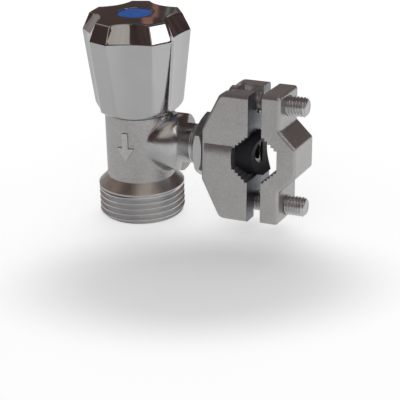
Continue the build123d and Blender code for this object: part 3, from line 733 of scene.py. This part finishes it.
def by_ray(tree, camera, mirror, rest):
    """Strength for camera rays, for glossy and transmission rays, and for the rest.

    Each is a number or comes from a node.
    """
    path = tree.nodes.new("ShaderNodeLightPath")

    def combined(operation, *values):
        node = tree.nodes.new("ShaderNodeMath")
        node.operation = operation
        for socket, value in zip(node.inputs, values):
            if isinstance(value, float):
                socket.default_value = value
            else:
                tree.links.new(value, socket)
        return node.outputs[0]

    def chosen(share, value, other):
        """The value where the share is 1, and the other where it's 0."""
        return combined("MULTIPLY_ADD", share, combined("SUBTRACT", value, other), other)

    reflected = combined("MAXIMUM", path.outputs["Is Glossy Ray"], path.outputs["Is Transmission Ray"])
    return chosen(path.outputs["Is Camera Ray"], camera, chosen(reflected, mirror, rest))


def white_world():
    """White surroundings, softer as a light than as a background."""
    world = bpy.data.worlds.new("studio")
    bpy.context.scene.world = world
    world.use_nodes = True
    tree = world.node_tree
    background = tree.nodes["Background"]
    background.inputs["Color"].default_value = (1, 1, 1, 1)
    tree.links.new(by_ray(tree, 1.0, 1.0, WORLD_LIGHT), background.inputs["Strength"])


def only_in_reflections(piece):
    """A panel that metal reflects, and that neither lights nor hides anything."""
    for ray in ("camera", "diffuse", "transmission", "volume_scatter", "shadow"):
        setattr(piece, f"visible_{ray}", False)


def glow(name, tints, size, strength=1.0):
    """Panel colour, mottled so that reflections of it aren't flat."""
    material = bpy.data.materials.new(name)
    material.use_nodes = True
    tree = material.node_tree
    tree.nodes.clear()
    output = tree.nodes.new("ShaderNodeOutputMaterial")
    emission = tree.nodes.new("ShaderNodeEmission")
    emission.inputs["Strength"].default_value = strength
    tree.links.new(emission.outputs["Emission"], output.inputs["Surface"])
    place = tree.nodes.new("ShaderNodeTexCoord").outputs["Object"]
    tint = tinted(tree, ranged(tree, noise(tree, place, size), 0, 1), *tints)
    tree.links.new(tint, emission.inputs["Color"])
    return material


def room_panel(name, azimuths, elevations, material, radius=ROOM_R):
    """Curved panel of the room round the valve, between these azimuths and elevations in degrees."""
    columns, rows = 24, 12
    vertices = []
    for elevation in np.radians(np.linspace(*elevations, rows)):
        flat = radius * cos(elevation)
        height = radius * sin(elevation) + ROOM_CENTRE_Z
        for azimuth in np.radians(np.linspace(*azimuths, columns)):
            vertices.append((flat * cos(azimuth), flat * sin(azimuth), height))
    faces = []
    for row in range(rows - 1):
        for column in range(columns - 1):
            corner = row * columns + column
            faces.append((corner, corner + 1, corner + columns + 1, corner + columns))
    panel = new_object(name, vertices, faces, PANEL_EDGE)
    panel.data.materials.append(material)
    only_in_reflections(panel)


def room():
    """Dark warm walls over the pale floor, a pale wall in front and a window on the right."""
    wall = glow("dark_wall", ((0.045, 0.030, 0.030), (0.11, 0.075, 0.068)), 0.35)
    room_panel("wall_back", (-180, 180), (1.0, 89), wall, OUTER_R)
    warm = glow("warm_wood", ((0.26, 0.14, 0.11), (0.34, 0.19, 0.15)), 0.2)
    room_panel("warm_strip", (114.0, 114.5), (4, 20.5), warm)
    room_panel("warm_foot", (114.4, 115.4), (20.5, 24), warm)
    slat = glow("pale_slats", ((0.14, 0.17, 0.17), (0.24, 0.27, 0.27)), 0.1)
    for number, azimuth in enumerate((111.6, 112.3, 113.0)):
        room_panel(f"slat_{number}", (azimuth, azimuth + 0.3), (13, 23), slat)
    beige = glow("beige_ceiling", ((0.33, 0.27, 0.23), (0.42, 0.35, 0.30)), 0.4)
    room_panel("ceiling", (-100, 20), (58, 86), beige, CEILING_R)
    room_panel("beige_left", (-188, -152), (30, 58), beige, CEILING_R)
    navy = glow("dark_ceiling", ((0.07, 0.08, 0.11), (0.11, 0.12, 0.16)), 0.4)
    room_panel("ceiling_back", (20, 200), (50, 89.9), navy, CEILING_R)
    grey = glow("grey_cupboard", ((0.27, 0.24, 0.23), (0.38, 0.33, 0.32)), 0.15)
    room_panel("cupboard", (126, 179), (-8, 27), grey)
    room_panel("beige_back", (66, 108), (28, 48), beige)
    pale = glow("pale_wall", ((0.50, 0.46, 0.42), (0.62, 0.57, 0.52)), 0.3)
    room_panel("wall_front", (-84, -22), (22, 70), pale)
    window = glow("window", ((1.0, 1.0, 1.0), (0.94, 0.96, 1.0)), 0.5, strength=2.2)
    room_panel("window", (-16, 5), (24, 43), window)


def soft_lamp(name, azimuth, elevation, distance, size, power):
    """Square soft lamp aimed at the valve, at an azimuth and elevation in degrees, unseen in the metal."""
    lamp = bpy.data.lights.new(name, "AREA")
    lamp.size, lamp.energy = size, power
    holder = bpy.data.objects.new(name, lamp)
    a, e = radians(azimuth), radians(elevation)
    toward = Vector((cos(a) * cos(e), sin(a) * cos(e), sin(e)))
    holder.location = toward * distance + LAMP_AIM
    holder.rotation_euler = toward.to_track_quat("Z", "Y").to_euler()
    holder.visible_glossy = False
    holder.visible_camera = False
    bpy.context.scene.collection.objects.link(holder)


def studio():
    """Floor, surroundings, room and lamps."""
    floor_disc()
    white_world()
    room()
    soft_lamp("top_back_lamp", azimuth=105, elevation=44, distance=0.9, size=0.8, power=3.2)
    soft_lamp("front_lamp", azimuth=-70, elevation=35, distance=1.0, size=0.6, power=1.0)


def camera():
    """Camera at the photograph's viewing angle."""
    a, e, roll = CAMERA_AZIMUTH, CAMERA_ELEVATION, CAMERA_ROLL
    right = Vector((cos(a), sin(a), 0))
    toward = Vector((sin(a) * cos(e), -cos(a) * cos(e), sin(e)))
    up = toward.cross(right)
    across = right * cos(roll) - up * sin(roll)
    above = right * sin(roll) + up * cos(roll)
    data = bpy.data.cameras.new("camera")
    data.sensor_fit, data.sensor_width = "HORIZONTAL", SENSOR_MM
    data.lens = FOCAL_PIXELS / PHOTO_PIXELS * SENSOR_MM
    data.clip_start, data.clip_end = 0.01, 20
    holder = bpy.data.objects.new("camera", data)
    turn = Matrix((across, above, toward)).transposed().to_4x4()
    holder.matrix_world = Matrix.Translation(CAMERA_PLACE) @ turn
    bpy.context.scene.collection.objects.link(holder)
    bpy.context.scene.camera = holder


studio()
camera()
bpy.context.scene.view_settings.view_transform = "Standard"
